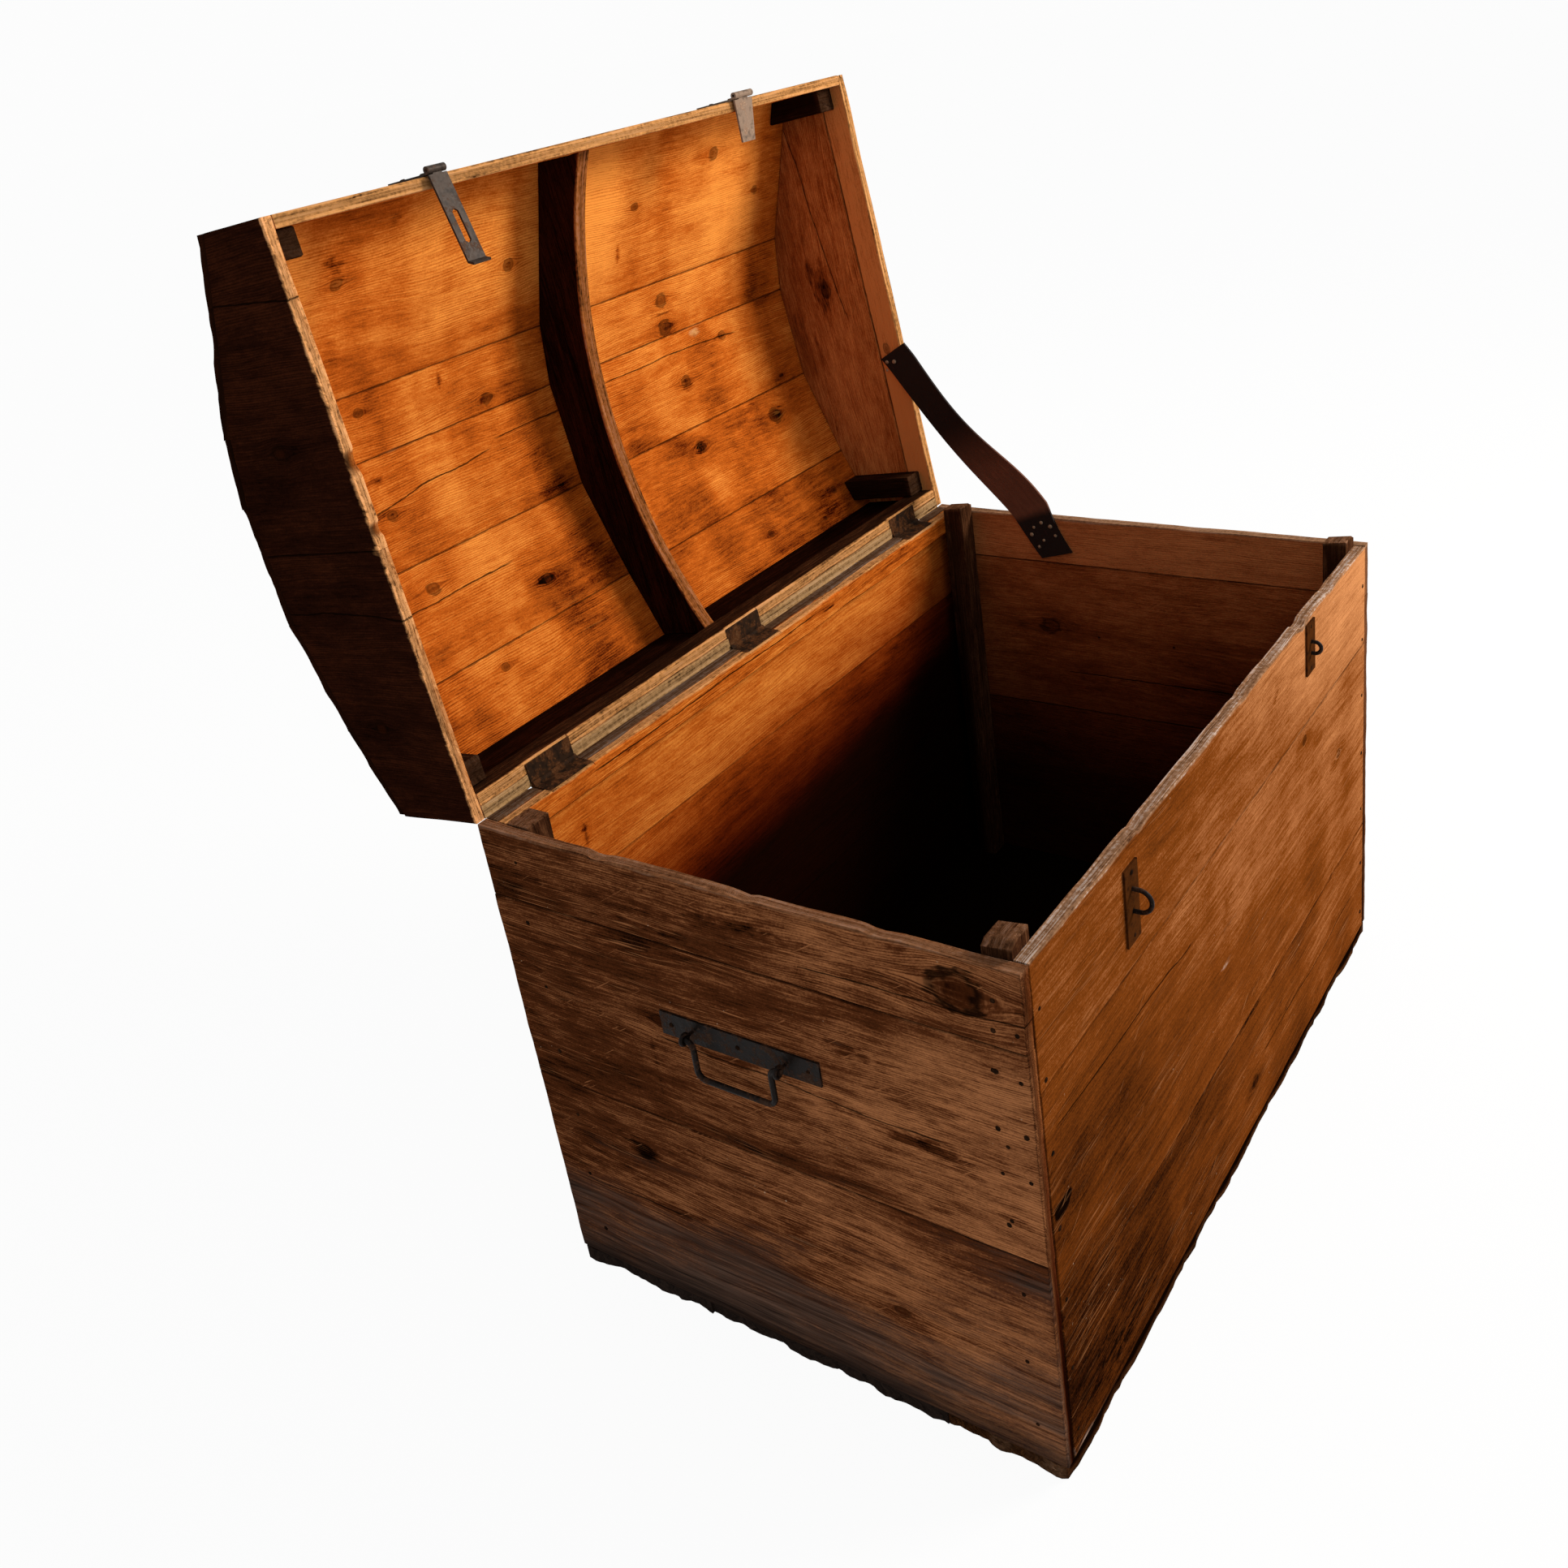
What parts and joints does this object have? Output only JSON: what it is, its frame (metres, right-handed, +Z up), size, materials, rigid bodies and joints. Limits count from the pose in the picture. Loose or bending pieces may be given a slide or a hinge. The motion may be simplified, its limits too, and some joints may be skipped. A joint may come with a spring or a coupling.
{
  "type": "domed lid storage chest",
  "caption": "Large plank chest with a low domed lid standing open on a leather stay, iron bail handles on the ends and hasps that drop over staples on the front.",
  "frame": {"origin": "on the floor under the middle of the chest, with the lid left out", "axes": "+Z up, -Y to the front, +X to the right end as seen from the front"},
  "size_m": [1.2542, 1.1022, 1.5085],
  "materials": {
    "front_wood": "bare weathered pine",
    "end_wood": "bare weathered pine",
    "back_wood": "bare weathered pine",
    "bottom_wood": "bare weathered pine",
    "post_wood": "bare weathered pine",
    "lid_end_wood": "bare weathered pine",
    "lid_wood": "bare weathered pine",
    "lid_frame_wood": "bare weathered pine",
    "leather": "dry, worn",
    "iron": "forged, dark with rust",
    "worn_iron": "forged, dusty rust",
    "small_iron": "forged, dark with rust"
  },
  "bodies": {
    "chest": {"front_board_top": "front_wood", "front_board_middle": "front_wood", "front_board_bottom": "front_wood", "left_end_board_top": "end_wood", "left_end_board_middle": "end_wood", "left_end_board_bottom": "end_wood", "right_end_board_top": "end_wood", "right_end_board_middle": "end_wood", "right_end_board_bottom": "end_wood", "back_board_top": "back_wood", "back_board_middle": "back_wood", "back_board_bottom": "back_wood", "bottom_board_1": "bottom_wood", "bottom_board_2": "bottom_wood", "bottom_board_3": "bottom_wood", "bottom_board_4": "bottom_wood", "corner_post_front_left": "post_wood", "corner_post_front_right": "post_wood", "corner_post_back_left": "post_wood", "corner_post_back_right": "post_wood", "chest_hinge_batten": "post_wood", "chest_hinge_leaves": "iron", "hinge_pins": "small_iron", "chest_hinge_screws": "small_iron", "staple_plate_left": "iron", "staple_plate_right": "worn_iron", "hasp_staple_left": "iron", "hasp_staple_right": "iron", "handle_plate_left": "iron", "handle_plate_right": "iron", "handle_eyes": "iron", "plate_nails": "small_iron", "carcass_nails": "small_iron", "stay_tacks_chest": "small_iron", "lid_stay_strap": "leather"},
    "lid": {"lid_top_board_1": "lid_wood", "lid_top_board_2": "lid_wood", "lid_top_board_3": "lid_wood", "lid_top_board_4": "lid_wood", "lid_top_board_5": "lid_wood", "lid_front_board": "lid_wood", "lid_back_board": "lid_wood", "lid_left_end_rear": "lid_end_wood", "lid_left_end_front": "lid_end_wood", "lid_right_end_low": "lid_end_wood", "lid_right_end_high": "lid_end_wood", "lid_rib": "lid_frame_wood", "lid_corner_blocks": "lid_frame_wood", "lid_hinge_batten": "lid_frame_wood", "lid_hinge_leaves": "iron", "lid_hinge_screws": "small_iron", "hasp_plate_left": "iron", "hasp_plate_right": "worn_iron", "hasp_pins": "small_iron", "lid_nails": "small_iron", "stay_tacks_lid": "small_iron"},
    "hasp_left": {"hasp_left": "iron"},
    "hasp_right": {"hasp_right": "worn_iron"},
    "handle_left": {"handle_bail_left": "iron"},
    "handle_right": {"handle_bail_right": "iron"}
  },
  "joints": [
    {"name": "lid_hinge", "type": "hinge", "parent": "chest", "child": "lid", "pos_m": [0, 0.3845, 0.73475], "axis": [1, 0, 0], "range_deg": [0, 97.7], "deforming": ["lid_stay_strap"]},
    {"name": "hasp_left_pivot", "type": "hinge", "parent": "lid", "child": "hasp_left", "pos_m": [-0.338, 0.48314, 1.50347], "axis": [1, 0, 0], "range_deg": [-110, 0]},
    {"name": "hasp_right_pivot", "type": "hinge", "parent": "lid", "child": "hasp_right", "pos_m": [0.305, 0.48314, 1.50347], "axis": [1, 0, 0], "range_deg": [-130, 0]},
    {"name": "handle_left_pivot", "type": "hinge", "parent": "chest", "child": "handle_left", "pos_m": [-0.618, 0.008, 0.512], "axis": [0, 1, 0], "range_deg": [-10, 120]},
    {"name": "handle_right_pivot", "type": "hinge", "parent": "chest", "child": "handle_right", "pos_m": [0.618, 0.008, 0.512], "axis": [0, -1, 0], "range_deg": [-10, 120]}
  ],
  "couplings": [
    {"joint": "hasp_left_pivot", "follows": "lid_hinge", "ratio": -1.1},
    {"joint": "hasp_right_pivot", "follows": "lid_hinge", "ratio": -1.3}
  ]
}
